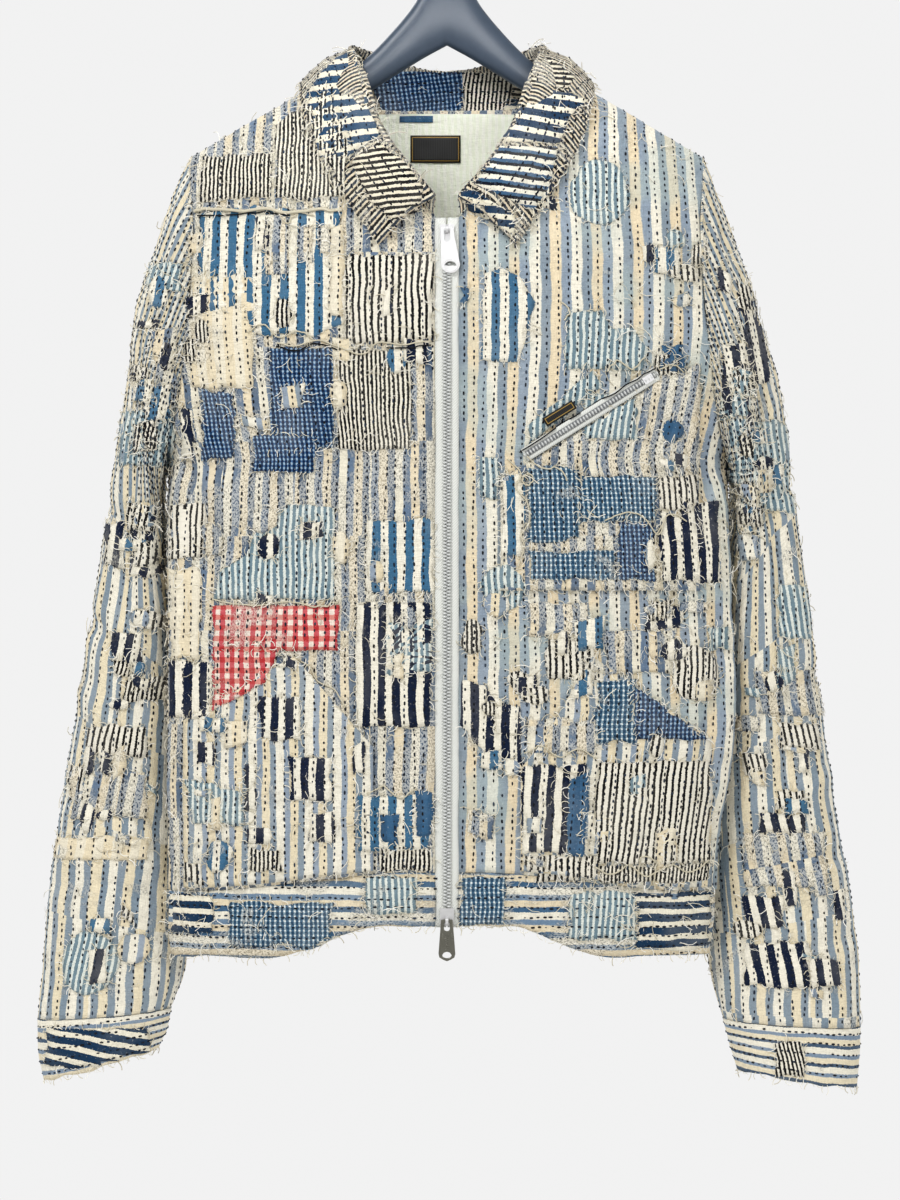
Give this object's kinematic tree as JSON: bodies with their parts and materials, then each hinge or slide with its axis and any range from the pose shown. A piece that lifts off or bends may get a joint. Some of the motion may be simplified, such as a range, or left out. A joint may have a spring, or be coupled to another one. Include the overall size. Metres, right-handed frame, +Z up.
{
  "type": "patched boro zip jacket on a contoured clothes hanger",
  "caption": "Quilted and patched cotton zip jacket with a pointed collar, long sleeves, slanted chest zip pocket and peaked hand pockets, hanging on a wide contoured hanger.",
  "frame": {"origin": "inside top of the hanger's hook, where a rail carries it", "axes": "+Z up, the jacket's front faces -Y, the wearer's left side is +X"},
  "size_m": [0.633, 0.1348, 0.9222],
  "materials": {
    "striped_cotton": "washed woven cotton in cream and grey-blue stripes, hand quilted, worn",
    "worn_cotton": "threadbare cotton with running stitches and open worn weave",
    "collar_cotton": "cotton in cream with blue and black stripes, quilted",
    "pinstripe_cotton": "cream cotton with fine black stripes",
    "indigo_check": "small indigo and white woven check",
    "light_blue_pinstripe": "pale blue cotton with fine stripes",
    "red_gingham": "faded red and white gingham",
    "blue_stripe_cotton": "indigo and cream striped cotton",
    "lining_cotton": "plain sage grey cotton",
    "label_cloth": "plain black woven tape",
    "zip_tape": "off-white woven zip tape",
    "zip_teeth": "off-white moulded zip coil",
    "zip_silver": "plated die-cast metal",
    "zip_gunmetal": "dark gunmetal plated metal",
    "hanger_satin": "satin dark slate coating",
    "hook_steel": "plated steel wire"
  },
  "bodies": {
    "jacket": {"front_right": "striped_cotton", "front_left": "striped_cotton", "back": "striped_cotton", "sleeve_right": "striped_cotton", "sleeve_left": "striped_cotton", "cuff_right": "striped_cotton", "cuff_left": "striped_cotton", "collar": "collar_cotton", "waistband_right": "striped_cotton", "waistband_left": "striped_cotton", "waistband_back": "striped_cotton", "chest_pocket": "worn_cotton", "hand_pocket_right": "striped_cotton", "hand_pocket_left": "worn_cotton", "patch_pinstripe_right": "pinstripe_cotton", "patch_check_right": "indigo_check", "patch_light_blue_right": "light_blue_pinstripe", "patch_gingham_right": "red_gingham", "patch_stripe_right": "blue_stripe_cotton", "patch_light_blue_left": "light_blue_pinstripe", "patch_stripe_left": "blue_stripe_cotton", "chest_zip": "zip_tape", "chest_zip_slider": "zip_silver", "pocket_label": "label_cloth", "neck_lining": "lining_cotton", "neck_label": "label_cloth", "hanging_loop": "blue_stripe_cotton", "zip_tape_right": "zip_tape", "zip_tape_left": "zip_tape", "zip_chain": "zip_teeth", "zip_slider_top": "zip_silver", "zip_slider_bottom": "zip_silver", "hanger": "hanger_satin", "hanger_hook": "hook_steel"},
    "top_pull": {"zip_pull_top": "zip_silver"},
    "bottom_pull": {"zip_pull_bottom": "zip_gunmetal"}
  },
  "joints": [
    {"name": "top_pull_swing", "type": "hinge", "parent": "jacket", "child": "top_pull", "pos_m": [0, -0.05462, -0.2672], "axis": [-1, 0, 0], "range_deg": [0, 150]},
    {"name": "bottom_pull_swing", "type": "hinge", "parent": "jacket", "child": "bottom_pull", "pos_m": [0, -0.05977, -0.7848], "axis": [-1, 0, 0], "range_deg": [0, 150]}
  ]
}
